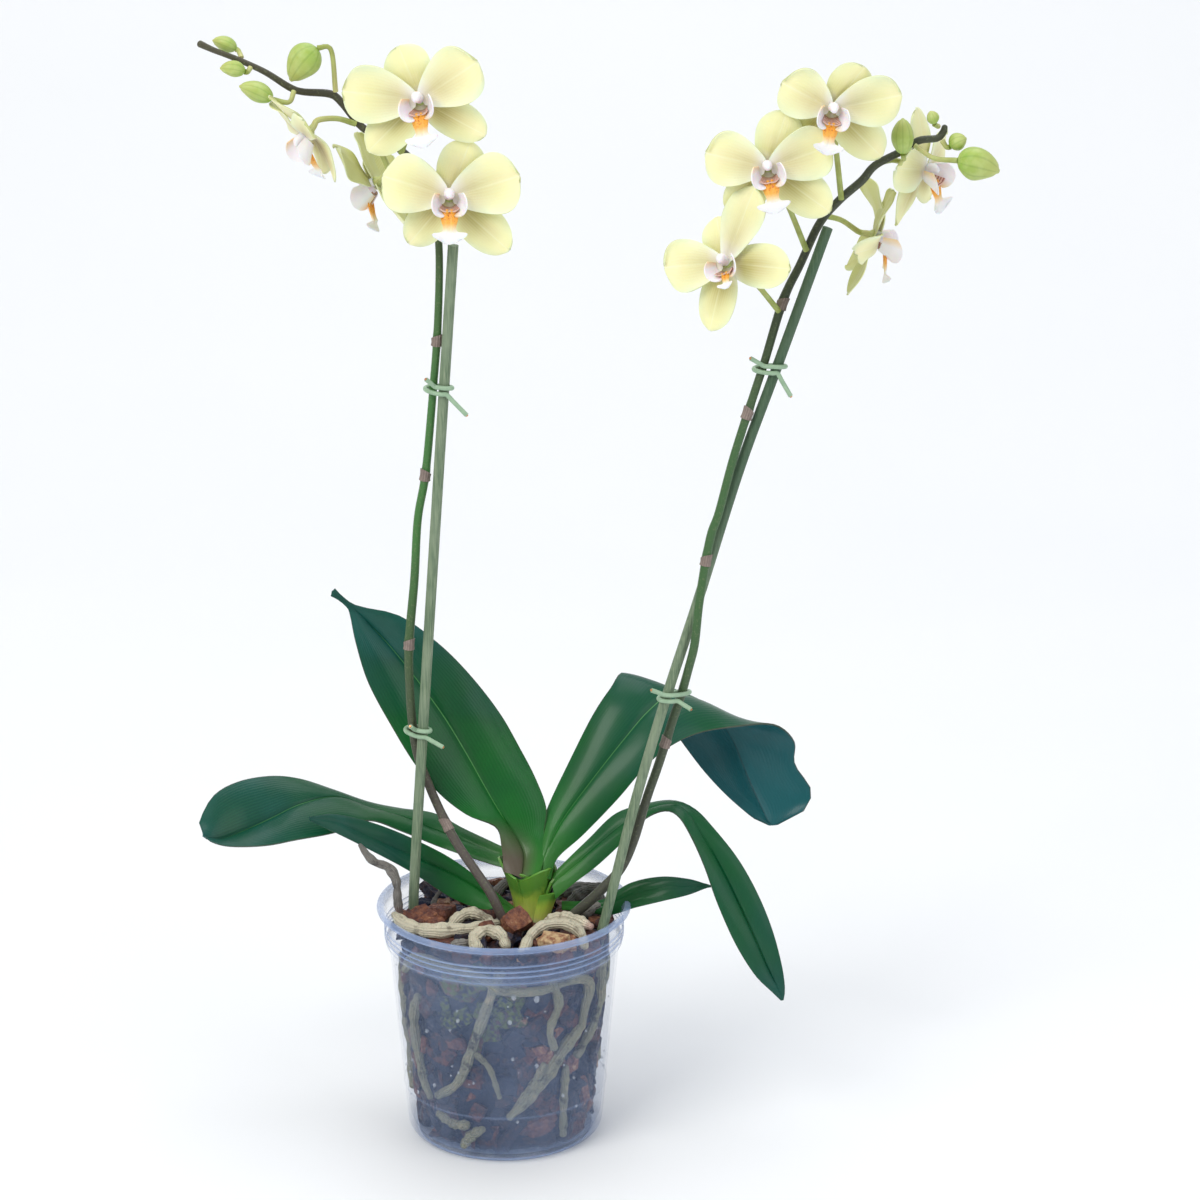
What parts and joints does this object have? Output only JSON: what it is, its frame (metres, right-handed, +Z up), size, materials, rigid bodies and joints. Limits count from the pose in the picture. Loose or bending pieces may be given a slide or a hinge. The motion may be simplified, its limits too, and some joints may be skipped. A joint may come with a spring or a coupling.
{
  "type": "potted orchid",
  "caption": "Potted moth orchid with strap leaves, two staked arching flower spikes with pale yellow flowers and green buds, in a clear tapered nursery pot of bark.",
  "frame": {"origin": "middle of the pot's underside, on the surface it stands on", "axes": "+Z up along the pot's axis, +X to the right along the fan of leaves, and the flowers look towards -Y"},
  "size_m": [0.3634, 0.131, 0.5243],
  "materials": {
    "pot_plastic": "gloss",
    "bark": "matte",
    "stem": "satin",
    "leaf": "gloss",
    "sepal": "satin",
    "petal": "satin",
    "lip": "satin",
    "bud": "satin",
    "root": "matte",
    "cane": "matte",
    "tie_wire": "satin"
  },
  "bodies": {
    "root": {"pot": "pot_plastic", "potting_bark": "bark", "crown": "stem", "leaf_upper_left": "leaf", "leaf_upper_right": "leaf", "leaf_low_left": "leaf", "leaf_front_left": "leaf", "leaf_drooping_right": "leaf", "leaf_low_right": "leaf", "spike_left": "stem", "spike_right": "stem", "stake_left": "cane", "stake_right": "cane", "tie_left_upper": "tie_wire", "tie_left_lower": "tie_wire", "tie_right_upper": "tie_wire", "tie_right_lower": "tie_wire", "flower_left_1_sepals": "sepal", "flower_left_1_petals": "petal", "flower_left_1_lip": "lip", "flower_left_2_sepals": "sepal", "flower_left_2_petals": "petal", "flower_left_2_lip": "lip", "flower_left_3_sepals": "sepal", "flower_left_3_petals": "petal", "flower_left_3_lip": "lip", "flower_left_4_sepals": "sepal", "flower_left_4_petals": "petal", "flower_left_4_lip": "lip", "flower_right_1_sepals": "sepal", "flower_right_1_petals": "petal", "flower_right_1_lip": "lip", "flower_right_2_sepals": "sepal", "flower_right_2_petals": "petal", "flower_right_2_lip": "lip", "flower_right_3_sepals": "sepal", "flower_right_3_petals": "petal", "flower_right_3_lip": "lip", "flower_right_4_sepals": "sepal", "flower_right_4_petals": "petal", "flower_right_4_lip": "lip", "flower_right_5_sepals": "sepal", "flower_right_5_petals": "petal", "flower_right_5_lip": "lip", "bud_left_1": "bud", "bud_left_2": "bud", "bud_left_3": "bud", "bud_left_4": "bud", "bud_right_1": "bud", "bud_right_2": "bud", "bud_right_3": "bud", "bud_right_4": "bud", "root_front_left": "root", "root_loop_left": "root", "root_curl_front": "root", "root_arch_front": "root", "root_short_right": "root", "root_aerial_left": "root", "root_wall_left": "root", "root_wall_right": "root"}
  },
  "joints": []
}
